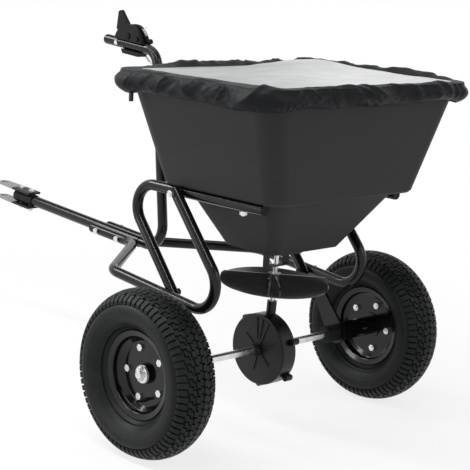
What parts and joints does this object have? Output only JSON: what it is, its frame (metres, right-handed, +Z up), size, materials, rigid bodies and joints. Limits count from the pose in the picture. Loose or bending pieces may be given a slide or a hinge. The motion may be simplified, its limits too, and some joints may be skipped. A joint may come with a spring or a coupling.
{
  "type": "garden spreader",
  "caption": "Tow-behind broadcast spreader: covered plastic hopper on a bent-tube cart with turf tyres, wheel-driven spinner, lever-worked gate and a clevis hitch.",
  "frame": {"origin": "on the ground under the middle of the overall length, midway between the wheels", "axes": "+X right, +Y forward to the hitch, +Z up"},
  "size_m": [0.759, 1.209, 0.8181],
  "materials": {
    "tyre_rubber": "matte black rubber with a turf tread",
    "rim_paint": "gloss black powder coat on pressed steel",
    "frame_paint": "gloss black powder coat on steel tube",
    "zinc_steel": "bright zinc plate",
    "galvanised_sheet": "galvanised sheet",
    "hopper_plastic": "fine-textured black polyethylene",
    "case_plastic": "glass-filled black nylon",
    "lever_plastic": "black moulded plastic",
    "scale_print": null,
    "gear_nylon": "natural nylon",
    "valve_rubber": "black rubber",
    "cover_cloth": "black woven nylon with an elastic hem",
    "cover_film": "cloudy clear vinyl film",
    "cord_lock_plastic": "black moulded plastic"
  },
  "bodies": {
    "frame": {"left_rail_tube": "frame_paint", "right_rail_tube": "frame_paint", "left_lower_tube": "frame_paint", "right_lower_tube": "frame_paint", "frame_bolts": "zinc_steel", "tube_plugs": "lever_plastic", "tow_bar": "frame_paint", "hitch_upper_plate": "galvanised_sheet", "hitch_lower_plate": "galvanised_sheet", "hitch_bolts": "zinc_steel", "tow_bar_bolts": "zinc_steel", "control_tube": "frame_paint", "left_axle_bracket": "frame_paint", "right_axle_bracket": "frame_paint", "axle_bushes": "case_plastic", "left_gear_case": "case_plastic", "right_gear_case": "case_plastic", "gear_case_screws": "zinc_steel", "hopper": "hopper_plastic", "hopper_bolts": "zinc_steel", "shaft_bush": "gear_nylon", "outlet_housing": "galvanised_sheet", "left_lever_housing": "lever_plastic", "right_lever_housing": "lever_plastic", "lever_housing_bolts": "zinc_steel", "scale_plate": "scale_print", "stop_knob": "lever_plastic"},
    "axle": {"axle": "zinc_steel", "axle_washers": "zinc_steel", "axle_cotters": "zinc_steel", "axle_pins": "zinc_steel", "axle_collars": "zinc_steel", "crown_gear": "gear_nylon", "left_tyre": "tyre_rubber", "left_outer_rim": "rim_paint", "left_inner_rim": "rim_paint", "left_wheel_bolts": "zinc_steel", "left_hub": "rim_paint", "left_hub_bearings": "zinc_steel", "left_valve": "valve_rubber"},
    "right_wheel": {"right_tyre": "tyre_rubber", "right_outer_rim": "rim_paint", "right_inner_rim": "rim_paint", "right_wheel_bolts": "zinc_steel", "right_hub": "rim_paint", "right_hub_bearings": "zinc_steel", "right_valve": "valve_rubber"},
    "spinner": {"spinner_shaft": "zinc_steel", "pinion": "gear_nylon", "spinner": "case_plastic", "spinner_pins": "zinc_steel", "agitator": "zinc_steel"},
    "lever": {"lever": "lever_plastic", "lever_shaft": "zinc_steel", "crank_arm": "zinc_steel"},
    "control_rod": {"control_rod": "zinc_steel"},
    "gate": {"gate": "galvanised_sheet"},
    "cover": {"cover_skirt": "cover_cloth", "cover_top": "cover_film", "cover_cord_lock": "cord_lock_plastic"}
  },
  "joints": [
    {"name": "axle_spin", "type": "hinge", "parent": "frame", "child": "axle", "pos_m": [0, -0.3415, 0.165], "axis": [-1, 0, 0], "continuous": true},
    {"name": "right_wheel_spin", "type": "hinge", "parent": "axle", "child": "right_wheel", "pos_m": [0.3295, -0.3415, 0.165], "axis": [-1, 0, 0], "continuous": true},
    {"name": "spinner_spin", "type": "hinge", "parent": "frame", "child": "spinner", "pos_m": [0, -0.3415, 0.165], "axis": [0, -0.061, 0.9981], "continuous": true},
    {"name": "lever_swing", "type": "hinge", "parent": "frame", "child": "lever", "pos_m": [0, 0.12383, 0.76365], "axis": [1, 0, 0], "range_deg": [0, 57]},
    {"name": "rod_swing", "type": "hinge", "parent": "lever", "child": "control_rod", "pos_m": [0.032, 0.12997, 0.73633], "axis": [1, 0, 0], "range_deg": [-55, 0.5]},
    {"name": "gate_slide", "type": "slide", "parent": "frame", "child": "gate", "axis": [0, 1, 0], "range_m": [-0.0002, 0.03659]},
    {"name": "cover_lift", "type": "slide", "parent": "frame", "child": "cover", "axis": [0, 0, 1], "range_m": [0, 0.3]}
  ],
  "couplings": [
    {"joint": "spinner_spin", "follows": "axle_spin", "ratio": -5},
    {"joint": "rod_swing", "follows": "lever_swing", "ratio": -0.95617},
    {"joint": "gate_slide", "follows": "lever_swing", "m_per_rad": 0.036576}
  ]
}
